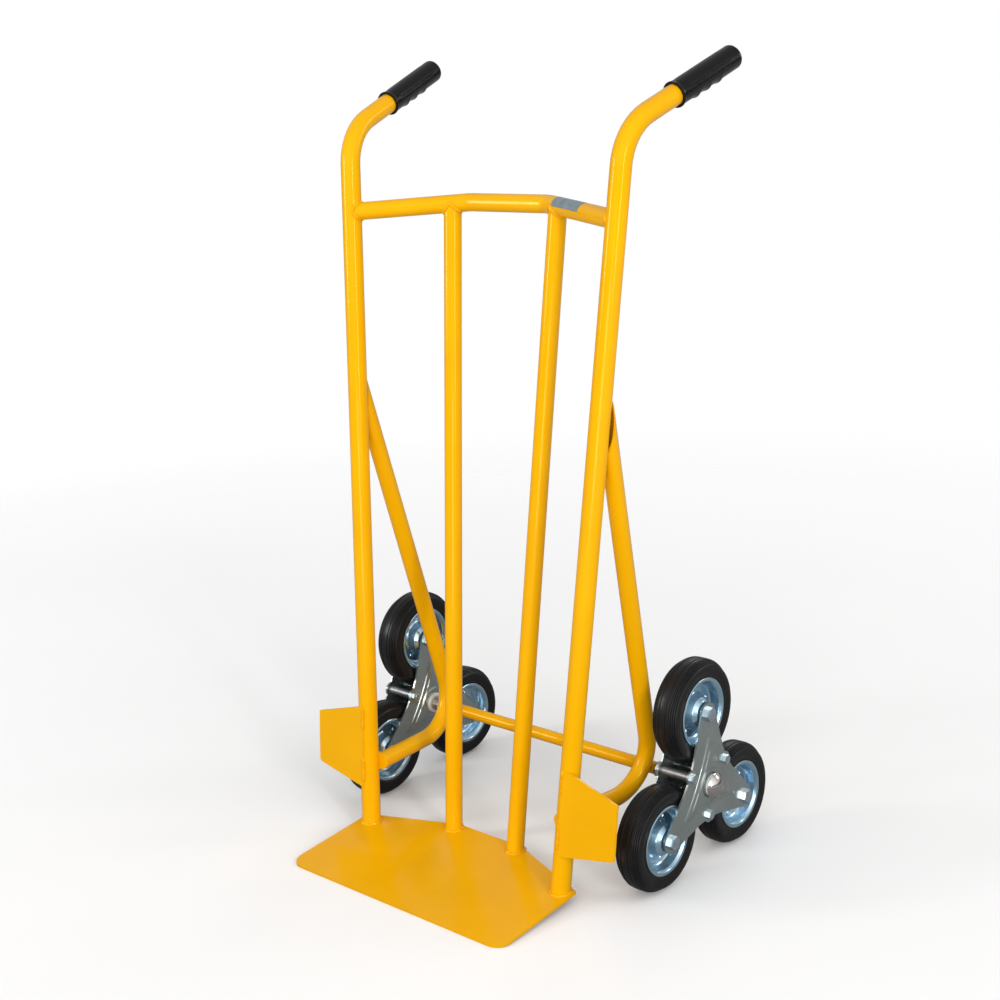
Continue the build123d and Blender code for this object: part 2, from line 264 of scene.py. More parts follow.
def bright_zinc():
    """Zinc on bolts, nuts and rivets: bright, with drawn marks; its slight blue is a painted reflection of a
    bluish sky.
    """
    s = Shader("bright_zinc_fasteners")
    film = s.noise(130.0, 3.0, 0.6)
    # Painted reflection: the blue of these tones stands in for a bluish sky mirrored in the zinc.
    s.colour(s.ramp(film, [(0.3, (0.52, 0.60, 0.67)), (0.7, (0.70, 0.77, 0.84))]))
    s.rough(420.0, 4.0, 0.12, 0.24)
    s.set(Metallic=1.0)
    s.bump((s.noise(500.0, 3.0, 0.6, vector=s.stretched((0.06, 1.0, 1.0))), 0.06, 0.0001))
    return s.material


def drawn_tube_zinc():
    """Dull zinc on the short spacer tubes, with marks along the tube."""
    s = Shader("drawn_tube_zinc")
    marks = s.noise(260.0, 3.0, 0.6, vector=s.stretched((0.08, 1.0, 1.0)))
    s.tones(110.0, 3.0, (0.26, 0.27, 0.28), (0.36, 0.37, 0.38))
    s.roughness(s.spread(marks, 0.3, 0.7, 0.34, 0.46))
    s.set(Metallic=0.9)
    s.bump((marks, 0.12, 0.00008))
    return s.material


def turned_steel():
    """Bare turned steel of the axle, a little dull and warm."""
    s = Shader("turned_steel")
    rings = s.noise(350.0, 3.0, 0.6, vector=s.stretched((9.0, 0.15, 0.15)))
    s.tones(60.0, 4.0, (0.36, 0.33, 0.30), (0.56, 0.53, 0.50))
    s.roughness(s.spread(rings, 0.3, 0.7, 0.24, 0.42))
    s.set(Metallic=1.0)
    s.bump((rings, 0.3, 0.00006))
    return s.material


def chrome():
    """Polished cap with faint hairlines and fingerprints in the gloss."""
    s = Shader("polished_chrome")
    # Painted reflection: the warm brownish grey stands in for a brownish floor mirrored in the cap; the tone also
    # wanders at random.
    s.tones(80.0, 3.0, (0.56, 0.52, 0.49), (0.68, 0.65, 0.62))
    s.roughness(s.spread(s.noise(260.0, 5.0, 0.7), 0.35, 0.75, 0.025, 0.08))
    s.set(Metallic=1.0)
    s.bump((s.noise(900.0, 2.0), 0.04, 0.00005))
    return s.material


def tyre_rubber():
    """Solid black rubber: mould texture, slightly grey where it has been handled."""
    s = Shader("tyre_rubber")
    dust = s.noise(34.0, 5.0, 0.65)
    stops = [
        (0.3, (0.0050, 0.0050, 0.0055)),
        (0.6, (0.0075, 0.0075, 0.0085)),
        (0.85, (0.016, 0.0165, 0.018)),
    ]
    s.colour(s.ramp(dust, stops))
    s.rough(150.0, 4.0, 0.30, 0.46)
    s.set(Specular_IOR_Level=0.22, Coat_Weight=0.10, Coat_Roughness=0.16)
    s.bump((s.noise(1300.0, 3.0), 0.14, 0.00008), (s.noise(170.0, 3.0), 0.08, 0.0002))
    return s.material


def grip_plastic():
    """Soft black plastic of the grips with a fine leathery mould grain."""
    s = Shader("grip_plastic")
    s.colour(s.ramp(s.noise(50.0, 4.0), [(0.3, (0.0018, 0.0018, 0.002)), (0.75, (0.0035, 0.0037, 0.0042))]))
    s.rough(120.0, 4.0, 0.16, 0.26)
    s.set(Specular_IOR_Level=0.16, Coat_Weight=0.22, Coat_Roughness=0.06, Coat_IOR=1.45)
    s.bump((s.cells(800.0), 0.06, 0.00006), (s.noise(120.0, 3.0), 0.04, 0.0002))
    return s.material


def nylon():
    """Natural nylon of the bushes, a little translucent."""
    s = Shader("natural_nylon")
    s.tones(120.0, 3.0, (0.72, 0.72, 0.66), (0.82, 0.82, 0.77))
    s.rough(400.0, 3.0, 0.32, 0.46)
    s.set(Subsurface_Weight=0.25, Subsurface_Scale=0.002)
    s.bump((s.noise(800.0, 2.0), 0.12, 0.0001))
    return s.material


def foil():
    """Blank satin label foil, slightly wrinkled."""
    s = Shader("label_foil")
    s.tones(90.0, 3.0, (0.20, 0.27, 0.31), (0.30, 0.38, 0.42))
    s.rough(300.0, 3.0, 0.28, 0.42)
    s.set(Metallic=0.55)
    s.bump((s.noise(160.0, 3.0), 0.15, 0.0002))
    return s.material


PAINT = powder_coat()
WELD = weld_paint()
PLATE = satin_zinc()
RIM = rim_zinc()
ZINC = bright_zinc()
SPACER = drawn_tube_zinc()
STEEL = turned_steel()
CHROME = chrome()
TYRE = tyre_rubber()
GRIP = grip_plastic()
NYLON = nylon()
FOIL = foil()
MATERIAL_OF_SLOT = {
    "paint": PAINT,
    "bare_steel": STEEL,
    "chrome": CHROME,
    "plate_zinc": PLATE,
    "bright_zinc": ZINC,
    "rim_zinc": RIM,
    "nylon": NYLON,
    "tyre": TYRE,
    "grip": GRIP,
}


def dress_cad_nodes():
    """Every carried-over CAD node takes the material of its slot."""
    slot_of = {part["node"]: part["material_slot"] for part in frame["record"]["subparts"]}
    for name, node in NODES.items():
        node.data.materials.clear()
        node.data.materials.append(MATERIAL_OF_SLOT[slot_of[name]])


# ---------------------------------------------------------------- mesh tools
def mesh_of(name, vertices, faces, sharp_degrees=40.0):
    """A mesh with outward faces, smooth apart from its real edges."""
    mesh = bpy.data.meshes.new(name)
    mesh.from_pydata([tuple(v) for v in vertices], [], faces)
    work = bmesh.new()
    work.from_mesh(mesh)
    bmesh.ops.remove_doubles(work, verts=work.verts, dist=1e-7)
    bmesh.ops.recalc_face_normals(work, faces=work.faces)
    work.to_mesh(mesh)
    work.free()
    mesh.shade_smooth()
    mesh.set_sharp_from_angle(angle=math.radians(sharp_degrees))
    return mesh


def piece(name, mesh, material, body, matrix=None, stands_for=()):
    """Adds one visible piece, riding on a body."""
    made = bpy.data.objects.new(name, mesh)
    bpy.context.scene.collection.objects.link(made)
    if matrix is not None:
        made.matrix_world = matrix
    if not mesh.materials:
        mesh.materials.append(material)
    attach(made, body)
    if stands_for:
        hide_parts(*stands_for)
    return made


def rounded(points, radius, steps=5, closed=False):
    """A polyline with each corner turned into a small arc."""
    points = [Vector(p) for p in points]
    count = len(points)
    result = []
    for k, corner in enumerate(points):
        if not closed and k in (0, count - 1):
            result.append(corner)
            continue
        before = points[k - 1] - corner
        after = points[(k + 1) % count] - corner
        turn = before.angle(after)
        reach = min(radius / math.tan(turn / 2), 0.45 * before.length, 0.45 * after.length)
        start = corner + before.normalized() * reach
        end = corner + after.normalized() * reach
        for step in range(steps + 1):
            t = step / steps
            result.append(start * (1 - t) ** 2 + corner * 2 * t * (1 - t) + end * t**2)
    return result


def lathe(profile, segments=96, closed=True):
    """Vertices and faces of (radius, height) points in millimetres, turned about local Z."""
    rings = len(profile)
    profile = [(r * MM, z * MM) for r, z in profile]
    vertices = []
    for k in range(segments):
        angle = TAU * k / segments
        vertices += [(r * math.cos(angle), r * math.sin(angle), z) for r, z in profile]
    faces = []
    spans = rings if closed else rings - 1
    for k in range(segments):
        here, there = k * rings, ((k + 1) % segments) * rings
        for j in range(spans):
            a, b = j, (j + 1) % rings
            faces.append((here + a, there + a, there + b, here + b))
    return vertices, faces


def joined(parts):
    """One vertex and face list from several, each with an optional matrix."""
    vertices, faces = [], []
    for (part_vertices, part_faces), matrix in parts:
        base = len(vertices)
        vertices += [matrix @ Vector(v) for v in part_vertices]
        faces += [tuple(base + i for i in face) for face in part_faces]
    return vertices, faces


def side_matrix(side, centre):
    """Local X to the rear or front, local Y up and local Z outwards from the truck's middle."""
    columns = (Vector((0, side, 0)), Vector((0, 0, 1)), Vector((side, 0, 0)))
    matrix = Matrix([[c[row] for c in columns] for row in range(3)]).to_4x4()
    return Matrix.Translation(centre) @ matrix


# ---------------------------------------------------------------- wheels
def half_size(node, axis):
    """Half of a CAD node's extent along an axis, in millimetres."""
    low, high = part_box(node)
    return (high[axis] - low[axis]) / 2 / MM


WHEEL_X = JOINTS["star_right_turn"]["pos_m"][0]
WHEEL_R = half_size("wheel_right_top_tyre", 2)
TYRE_HALF = half_size("wheel_right_top_tyre", 0)
RIM_R = half_size("wheel_right_top_rim_outer", 2)
RIM_HALF = (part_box("wheel_right_top_rim_outer")[1].x - WHEEL_X) / MM
RIM_SHEET = 1.8
HUB_R = half_size("wheel_right_top_hub", 2)
HUB_HALF = half_size("wheel_right_top_hub", 0)
RIVETS = 5
RIVET_RING_R = 33.5
RIVET_PHASES = {"top": 17.0, "front": 64.0, "rear": 39.0}


def tyre_mesh():
    """Solid tyre: grooved tread, four fine ribs on each shoulder, smooth sidewall and a bead lip."""
    r, w = WHEEL_R, TYRE_HALF
    half = [
        (r - 0.1, 0.0),
        (r - 0.1, 5.0),
        (r - 1.5, 5.5),
        (r - 1.5, 6.5),
        (r - 0.2, 7.0),
        (r - 0.6, 10.4),
    ]
    for rib in range(4):
        out, edge = r - 0.9 - 1.75 * rib, 11.0 + 2.45 * rib
        half += [(out - 1.5, edge), (out - 1.5, edge + 0.7), (out - 0.5, edge + 1.0), (out - 1.1, edge + 2.2)]
    half += [
        (r - 8.2, w - 1.0),
        (r - 9.6, w - 0.1),
        (r - 14.0, w),
        (r - 19.0, w - 0.5),
        (RIM_R + 5.0, w - 1.2),
        (RIM_R + 3.4, w - 1.0),
        (RIM_R + 1.6, w - 2.0),
        (RIM_R - 1.0, w - 3.6),
    ]
    profile = [tuple(p) for p in rounded(half, 0.45, 3)] + [(46.0, w - 7.0), (44.0, 2.0)]
    profile += [(radius, -out) for radius, out in reversed(profile[1:])]
    return mesh_of("tyre", *lathe(profile, 128), sharp_degrees=60)


def rim_mesh():
    """One pressed rim half: rolled bead edge, barrel, flat web, and a cone up to the hub."""
    edge = RIM_HALF - 0.6
    line = [
        (HUB_R + 0.2, edge + 0.4),
        (18.0, edge + 0.2),
        (22.5, edge - 5.5),
        (26.5, 3.2),
        (29.5, 1.05),
        (41.0, 1.05),
        (43.8, 3.5),
        (46.2, edge - 4.5),
        (49.0, edge - 0.9),
        (RIM_R - 1.2, edge),
        (RIM_R - 0.1, edge - 0.7),
    ]
    smooth = [Vector(p) for p in rounded(line, 2.4, 5)]
    upper, lower = [], []
    for k, point in enumerate(smooth):
        along = smooth[min(k + 1, len(smooth) - 1)] - smooth[max(k - 1, 0)]
        normal = Vector((-along.y, along.x)).normalized() * (RIM_SHEET / 2)
        upper.append(tuple(point + normal))
        lower.append(tuple(point - normal))
    return mesh_of("rim_half", *lathe(upper + lower[::-1], 112), sharp_degrees=50)


def rivet_mesh():
    """Round-headed rivets through the web, on both sides."""
    shell = [(0.0, 2.8), (1.5, 2.6), (2.8, 1.8), (3.5, 0.5), (3.6, 0.0)]
    parts = []
    for k in range(RIVETS):
        place = Matrix.Rotation(TAU * k / RIVETS, 4, "Z") @ Matrix.Translation((RIVET_RING_R * MM, 0, 0))
        for flip in (0.0, math.pi):
            lift = Matrix.Rotation(flip, 4, "X") @ Matrix.Translation((0, 0, 1.9 * MM))
            parts.append((lathe(shell, 20, closed=False), place @ lift))
    return mesh_of("rivets", *joined(parts))


def hub_mesh():
    """Bearing housing with a dust ring at each end, and the sleeve that turns on the bolt."""
    housing = HUB_HALF - 3.2
    half = [
        (HUB_R, 0.0),
        (HUB_R, housing - 0.7),
        (HUB_R - 0.8, housing),
        (11.4, housing),
        (11.2, housing - 0.8),
        (9.6, housing - 0.8),
        (9.2, housing + 0.2),
        (9.0, HUB_HALF - 0.5),
        (8.6, HUB_HALF),
        (6.2, HUB_HALF),
    ]
    profile = half + [(r, -z) for r, z in reversed(half[1:])]
    return mesh_of("wheel_hub", *lathe(profile, 64), sharp_degrees=35)


def build_wheels():
    tyre, rim, rivets, hub = tyre_mesh(), rim_mesh(), rivet_mesh(), hub_mesh()
    flip = Matrix.Rotation(math.pi, 4, "X")
    for side, sign in SIDES:
        for place in PLACES:
            body = f"wheel_{side}_{place}"
            name = f"{side}_{place}"
            square = side_matrix(sign, Vector(JOINTS[f"{body}_turn"]["pos_m"]))
            turned = square @ Matrix.Rotation(math.radians(RIVET_PHASES[place]), 4, "Z")
            piece(f"tyre_{name}", tyre, TYRE, body, square, [f"{body}_tyre"])
            piece(f"rim_outer_{name}", rim, RIM, body, square, [f"{body}_rim_outer"])
            piece(f"rim_inner_{name}", rim, RIM, body, square @ flip, [f"{body}_rim_inner"])
            piece(f"rivets_{name}", rivets, ZINC, body, turned)
            piece(f"hub_{name}", hub, RIM, body, square, [f"{body}_hub"])


# ---------------------------------------------------------------- stars
PLATE_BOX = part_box("star_right_outer_plate")
STAR_CENTRE = Vector(JOINTS["star_right_turn"]["pos_m"])
WHEEL_CENTRE = Vector(JOINTS["wheel_right_top_turn"]["pos_m"])
STAR_R = (WHEEL_CENTRE - STAR_CENTRE).length / MM
GAP_HALF = (PLATE_BOX[0].x - STAR_CENTRE.x) / MM
PLATE_T = 3.0
RELIEF = (PLATE_BOX[1].x - PLATE_BOX[0].x) / MM - PLATE_T
BOSS_R = 28.5
BOSS_STEP = 2.2                 # how far the boss stands above the pressed triangle
BUSH_R = 13.0
BOLT_HOLE_R = 6.3
SPACER_HOLE_R = 4.3
SPACER_TUBE_R = 7.0
ARM_TIP_R = PLATE_BOX[1].z / MM - WHEEL_CENTRE.z / MM
ARM_ROOT = (51.0, 37.0)
EAR_R = 12.0
SPACER_R = 50.0
BASE_IN, TOP_IN = 33.5, 25.0    # the pressed triangle's foot and top edge, from the centre
M12 = {"across": 19.0, "head_h": 7.5, "radius": 6.0, "tail": 12.0, "pitch": 1.6, "nut_h": 10.0}
M8 = {"across": 13.0, "head_h": 5.3, "radius": 4.0, "tail": 8.0, "pitch": 1.25, "nut_h": 6.5}


def polar(radius, degrees):
    return Matrix.Rotation(math.radians(degrees), 2) @ Vector((radius, 0))


def arm_outline():
    """The plate's edge in star coordinates: tapered arms with round ends, an ear at each spacer."""
    points = []
    ear = Matrix.Rotation(math.radians(60), 2)
    next_arm = Matrix.Rotation(math.radians(120), 2)
    for turn in ARM_TURNS:
        local = []
        tip_spread = math.radians(70)
        for step in range(15):
            angle = -tip_spread + 2 * tip_spread * step / 14
            local.append((STAR_R + ARM_TIP_R * math.cos(angle), ARM_TIP_R * math.sin(angle)))
        local.append(ARM_ROOT)
        for step in range(7):
            angle = math.radians(-60 + 20 * step)
            local.append(ear @ Vector((SPACER_R + EAR_R * math.cos(angle), EAR_R * math.sin(angle))))
        local.append(next_arm @ Vector((ARM_ROOT[0], -ARM_ROOT[1])))
        turned = Matrix.Rotation(math.radians(turn), 2)
        points += [turned @ Vector(p) for p in local]
    return [Vector(p) for p in rounded(points, 6.0, 4, closed=True)]


def relief_margin(x, y):
    """How far a point lies inside the base line of the pressed triangle, rounded at its three tips."""
    margins = []
    for turn in (30, 150, 270):
        axis = Vector((math.cos(math.radians(turn)), math.sin(math.radians(turn))))
        along = Vector((-axis.y, axis.x)).dot((x, y))
        margins.append(BASE_IN + 0.0014 * along**2 - axis.dot((x, y)))
    soft = 1.6
    lowest = min(margins)
    return lowest - soft * math.log(sum(math.exp((lowest - m) / soft) for m in margins))


def smooth_step(value):
    value = max(0.0, min(1.0, value))
    return value * value * (3 - 2 * value)


def relief_height(x, y):
    """Height of the pressed triangle and its round boss at a point of the plate."""
    step = relief_margin(x, y)
    wide = BASE_IN - TOP_IN
    rise = 0.36 * smooth_step((step + 0.5) / 1.9) + 0.36 * smooth_step((step - wide + 1.4) / 1.9)
    platform = (RELIEF - BOSS_STEP) * (rise + 0.28 * max(0.0, min(1.0, step / wide)))
    boss = smooth_step((BOSS_R + 1.5 - math.hypot(x, y)) / 7.5)
    return platform + (RELIEF - platform) * boss


def relief_loop(margin, steps=270):
    """Points where the relief has a given margin, one for each direction from the centre."""
    points = []
    for k in range(steps):
        angle = TAU * k / steps
        low, high = 0.0, 110.0
        for _ in range(24):
            middle = (low + high) / 2
            if relief_margin(middle * math.cos(angle), middle * math.sin(angle)) > margin:
                low = middle
            else:
                high = middle
        points.append(Vector((low * math.cos(angle), low * math.sin(angle))))
    return points


def circle(centre, radius, steps):
    angles = [TAU * k / steps for k in range(steps)]
    return [Vector((centre.x + radius * math.cos(a), centre.y + radius * math.sin(a))) for a in angles]


def inside(x, y, loop):
    """Even-odd test against a closed loop."""
    result = False
    for a, b in zip(loop, loop[1:] + loop[:1]):
        if (a.y > y) != (b.y > y) and x < (b.x - a.x) * (y - a.y) / (b.y - a.y) + a.x:
            result = not result
    return result


def relief_points():
    """Points that follow the boss and the edges of the pressed triangle, so that they come out crisp."""
    points = []
    for radius in (14.5, 18.0, 21.0, 22.5, 24.0, 25.5, 27.0, 28.5, 30.0, 31.2):
        points += circle(Vector((0, 0)), radius, 90)
    top = BASE_IN - TOP_IN
    for margin in (-0.5, -0.1, 0.4, 0.9, 1.4, 4.2, top - 1.4, top - 0.9, top - 0.4, top + 0.1, top + 0.5):
        points += [p for p in relief_loop(margin) if p.length > BOSS_R + 3.4]
    return points


def flat_points(outline, holes, spacing=2.6):
    """A triangular grid over the rest of the plate, clear of the relief and the bolt holes."""
    points = []
    steps = int(140 / spacing)
    for i in range(-steps, steps + 1):
        for j in range(-steps, steps + 1):
            x = (i + (0.5 if j % 2 else 0.0)) * spacing
            y = j * spacing * 0.87
            on_boss = math.hypot(x, y) < BOSS_R + 4.0
            on_edge = -2.0 < relief_margin(x, y) < BASE_IN - TOP_IN + 2.0
            near_hole = any((Vector((x, y)) - centre).length < 8.5 for centre, _, _ in holes)
            if not on_boss and not on_edge and not near_hole and inside(x, y, outline):
                points.append(Vector((x, y)))
    return points


def star_plate_mesh():
    """Pressed sheet: a fine flat mesh of the outline and holes, raised by the relief, then thickened."""
    outline = arm_outline()
    dense = []
    for a, b in zip(outline, outline[1:] + outline[:1]):
        steps = max(1, int((b - a).length / 2.5))
        dense += [a.lerp(b, k / steps) for k in range(steps)]
    bush_hole = (Vector((0, 0)), BUSH_R, 48)
    bolt_holes = []
    for turn in ARM_TURNS:
        bolt_holes.append((polar(STAR_R, turn), BOLT_HOLE_R, 24))
        bolt_holes.append((polar(SPACER_R, turn + 60), SPACER_HOLE_R, 20))
    holes = [bush_hole] + bolt_holes
    points, edges = [], []
    for loop in [dense] + [circle(*hole) for hole in holes]:
        base = len(points)
        points += loop
        edges += [(base + k, base + (k + 1) % len(loop)) for k in range(len(loop))]
    points += relief_points() + flat_points(dense, bolt_holes)
    flat, _, faces, *_ = delaunay_2d_cdt(points, edges, [], 0, 1e-4)
    kept = []
    for face in faces:
        mid = sum((flat[i] for i in face), Vector((0, 0))) / len(face)
        in_hole = any((mid - centre).length < radius for centre, radius, _ in holes)
        if inside(mid.x, mid.y, dense) and not in_hole:
            kept.append(tuple(face))
    count = len(flat)
    lower = [(p.x * MM, p.y * MM, relief_height(p.x, p.y) * MM) for p in flat]
    upper = [(x, y, z + PLATE_T * MM) for x, y, z in lower]
    used = {pair for face in kept for pair in zip(face, face[1:] + face[:1])}
    rim = sorted(pair for pair in used if pair[::-1] not in used)
    faces = [tuple(reversed(face)) for face in kept]
    faces += [tuple(i + count for i in face) for face in kept]
    faces += [(a, b, b + count, a + count) for a, b in rim]
    return mesh_of("star_plate", lower + upper, faces, sharp_degrees=45)


def hex_head(across, height, bore=0.0, both_ends=False):
    """Hexagonal head whose corners are turned down by a cone, as on a real bolt."""
    columns = 48
    half = across / 2
    profiles = []
    for k in range(columns):
        angle = TAU * k / columns
        fold = (math.degrees(angle) + 30) % 60 - 30
        radius = half / math.cos(math.radians(fold))
        drop = max(0.0, (radius - half * 0.97) * math.tan(math.radians(30)))
        low = drop if both_ends else 0.0
        ring = [
            (bore, 0.0),
            (half * 0.93, 0.0),
            (radius, low),
            (radius, height - drop),
            (half * 0.95, height),
            (bore, height),
        ]
        profiles.append([(r * math.cos(angle) * MM, r * math.sin(angle) * MM, z * MM) for r, z in ring])
    rings = len(profiles[0])
    vertices = [v for profile in profiles for v in profile]
    faces = []
    for k in range(columns):
        here, there = k * rings, ((k + 1) % columns) * rings
        faces += [(here + j, there + j, there + j + 1, here + j + 1) for j in range(rings - 1)]
    return vertices, faces


def thread(radius, low, high, pitch):
    """Threaded rod end: ridged cylinder with a chamfered tip, pointing down."""
    profile = [(0.0, low), (radius - 1.2, low), (radius - 0.2, low + 1.0)]
    z = low + 1.0
    while z < high:
        profile += [(radius - 0.45 * pitch, z + pitch * 0.5), (radius, z + pitch)]
        z += pitch
    return lathe(profile, 32, closed=False)


def washer(inner, outer, thickness):
    edge = 0.3
    profile = [
        (inner, 0.0),
        (outer - edge, 0.0),
        (outer, edge),
        (outer, thickness - edge),
        (outer - edge, thickness),
        (inner, thickness),
    ]
    return lathe(profile, 48)


def fastener_mesh(name, places, across, head_h, radius, tail, pitch, nut_h):
    """A set of bolts with washers, nuts and thread ends, at the given places of a star."""
    face = GAP_HALF + PLATE_T
    lift = Matrix.Translation((0, 0, face * MM))
    nut_turn = Matrix.Rotation(math.radians(14), 4, "Z")
    parts = []
    for index, (x, y) in enumerate(places):
        at = Matrix.Translation((x * MM, y * MM, 0)) @ Matrix.Rotation(math.radians(34 + 3 * index), 4, "Z")
        up = at @ lift
        down = at @ Matrix.Rotation(math.pi, 4, "X") @ lift @ nut_turn
        parts.append((hex_head(across, head_h), up))
        parts.append((washer(across * 0.4, across * 0.485, 0.5), up))
        parts.append((hex_head(across, nut_h, bore=radius - 0.3, both_ends=True), down))
        parts.append((thread(radius, -face - tail, -face - nut_h * 0.6, pitch), at))
        parts.append((lathe([(radius, -face), (radius, face)], 32, closed=False), at))
    return mesh_of(name, *joined(parts), sharp_degrees=28)


def spacer_mesh(places):
    outer, inner, bevel = SPACER_TUBE_R, SPACER_HOLE_R, 0.4
    half = [(outer, GAP_HALF - bevel), (outer - bevel, GAP_HALF), (inner, GAP_HALF)]
    profile = [(r, -z) for r, z in reversed(half)] + half
    parts = [(lathe(profile, 40), Matrix.Translation((x * MM, y * MM, 0))) for x, y in places]
    return mesh_of("spacers", *joined(parts))


def build_stars():
    plate = star_plate_mesh()
    wheel_places = [polar(STAR_R, turn) for turn in ARM_TURNS]
    spacer_places = [polar(SPACER_R, turn) for turn in (30, 150, 270)]
    wheel_bolts = fastener_mesh("wheel_bolts", wheel_places, **M12)
    spacer_bolts = fastener_mesh("spacer_bolts", spacer_places, **M8)
    spacers = spacer_mesh(spacer_places)
    lift = Matrix.Translation((0, 0, GAP_HALF * MM))
    mirror = Matrix.Rotation(math.pi, 4, "Y")
    for side, sign in SIDES:
        body = f"star_{side}"
        at = side_matrix(sign, Vector(JOINTS[f"{body}_turn"]["pos_m"]))
        bolt_nodes = [f"{body}_wheel_bolts", f"{body}_nuts"]
        inner_at = at @ mirror @ lift
        piece(f"plate_outer_{side}", plate, PLATE, body, at @ lift, [f"{body}_outer_plate"])
        piece(f"plate_inner_{side}", plate, PLATE, body, inner_at, [f"{body}_inner_plate"])
        piece(f"bolts_m12_{side}", wheel_bolts, ZINC, body, at, bolt_nodes)
        piece(f"bolts_m8_{side}", spacer_bolts, ZINC, body, at, [f"{body}_spacer_bolts"])
        piece(f"spacers_{side}", spacers, SPACER, body, at, [f"{body}_spacers"])


# ---------------------------------------------------------------- frame tubes: where their axes run
def cut_edges(node, axis, at):
    """The edges of a CAD node's cross-section where one coordinate equals a value, as point pairs."""
    work = bmesh.new()
    work.from_mesh(NODES[node].data)
    point, normal = Vector((0, 0, 0)), Vector((0, 0, 0))
    point[axis] = at
    normal[axis] = 1.0
    everything = work.verts[:] + work.edges[:] + work.faces[:]
    found = bmesh.ops.bisect_plane(work, geom=everything, plane_co=point, plane_no=normal)["geom_cut"]
    edges = [part for part in found if isinstance(part, bmesh.types.BMEdge)]
    pairs = [tuple(v.co.copy() for v in edge.verts) for edge in edges]
    work.free()
    return pairs


def slice_centre(node, axis, at, ceiling=math.inf):
    """Centre of a cross-section, counting only what is below a height."""
    total, middle = 0.0, Vector((0, 0, 0))
    for first, second in cut_edges(node, axis, at):
        if first.z < ceiling:
            length = (second - first).length
            total += length
            middle += length * (first + second) / 2
    return middle / total


class TubeLine:
    """A straight stretch of a CAD tube: two points on its axis, and its radius."""

    def __init__(self, node, axis, low, high, radius, ceiling=math.inf):
        self.start = slice_centre(node, axis, low, ceiling)
        self.along = (slice_centre(node, axis, high, ceiling) - self.start).normalized()
        self.radius = radius

    def around(self, angle):
        """Unit vector square to the axis."""
        side = self.along.orthogonal().normalized()
        return Matrix.Rotation(angle, 3, self.along) @ side

    def distance_to_plane(self, point, normal, origin):
        """How far along this axis from origin a plane lies."""
        return (point - origin).dot(normal) / self.along.dot(normal)

    def misses(self, other, origin):
        """Whether a line along this axis from origin passes beside another tube."""
        square = self.along.cross(other.along).normalized()
        return abs((origin - other.start).dot(square)) > 0.985 * other.radius

    def distance_to_tube(self, other, origin, far=False):
        """How far along this axis from origin another tube's surface lies, on the near or far side."""
        offset = origin - other.start
        across = self.along - other.along * self.along.dot(other.along)
        reach = offset - other.along * offset.dot(other.along)
        a, b, c = across.dot(across), 2 * across.dot(reach), reach.dot(reach) - other.radius**2
        root = max(0.0, b * b - 4 * a * c)
        return (-b + (1 if far else -1) * math.sqrt(root)) / (2 * a)


# ---------------------------------------------------------------- welds
def bead(name, path, inward, radius, seed, closed=True):
    """Adds a weld bead along a path: overlapping ripples of uneven size, half sunk in the corner."""
    pitch = 0.0024
    rng = random.Random(seed)
    dense = []
    count = len(path)
    for k in range(count if closed else count - 1):
        a, b = path[k], path[(k + 1) % count]
        steps = max(1, int((b - a).length / 0.0006))
        here, there = inward[k], inward[(k + 1) % count]
        dense += [(a.lerp(b, j / steps), here.lerp(there, j / steps)) for j in range(steps)]
    if not closed:
        dense.append((path[-1], inward[-1]))
    wander = [rng.uniform(-1, 1) for _ in range(400)]
    sides = 10
    vertices, faces = [], []
    length = 0.0
    for k, (point, into) in enumerate(dense):
        last = k == len(dense) - 1
        ahead = point * 2 - dense[k - 1][0] if last and not closed else dense[(k + 1) % len(dense)][0]
        behind = dense[k - 1][0] if closed or k else point * 2 - dense[1][0]
        along = (ahead - behind).normalized()
        length += (point - dense[k - 1][0]).length if k else 0.0
        ripple = (length / pitch) % 1.0
        patch = length / 0.006
        slow = wander[int(patch) % 400] * (1 - patch % 1.0) + wander[(int(patch) + 1) % 400] * (patch % 1.0)
        size = radius * (1.0 + 0.16 * (1 - ripple) ** 1.5 + 0.14 * slow)
        if not closed:
            size *= min(1.0, 0.35 + 0.65 * min(k, len(dense) - 1 - k) / 6)
        first = (into - along * into.dot(along)).normalized()
        second = along.cross(first)
        centre = point + first * radius * 0.25 * slow
        for j in range(sides):
            angle = TAU * j / sides
            vertices.append(centre + first * size * math.cos(angle) * 0.9 + second * size * math.sin(angle))
    rings = len(dense)
    for k in range(rings if closed else rings - 1):
        here, there = k * sides, ((k + 1) % rings) * sides
        for j in range(sides):
            n = (j + 1) % sides
            faces.append((here + j, here + n, there + n, there + j))
    if not closed:
        faces += [tuple(range(sides)), tuple(reversed(range((rings - 1) * sides, rings * sides)))]
    piece(name, mesh_of(name, vertices, faces, sharp_degrees=70), WELD, "frame")


def ring_weld(name, line, reach, steps, radius, seed):
    """Bead all round a tube, at the distance along it that reach gives for each point of its skin."""
    path, inward = [], []
    for k in range(steps):
        out = line.around(TAU * k / steps)
        origin = line.start + out * line.radius
        path.append(origin + line.along * reach(origin))
        inward.append(out)
    bead(name, path, inward, radius, seed)


def guard_edge_weld(name, node, low, high, radius, seed):
    """Bead along a guard plate's inner edge, where it lies on the front of the rail."""
    stations = 15
    path = []
    for k in range(stations):
        level = low + (high - low) * k / (stations - 1)
        corners = [p for pair in cut_edges(node, 2, level) for p in pair]
        nearest = min(abs(p.x) for p in corners)
        edge = [p for p in corners if abs(p.x) < nearest + 0.0003]
        path.append(sum(edge, Vector((0, 0, 0))) / len(edge))
    inward = [Vector((math.copysign(1.0, path[0].x), 0, 0))] * stations
    bead(name, path, inward, radius, seed, closed=False)


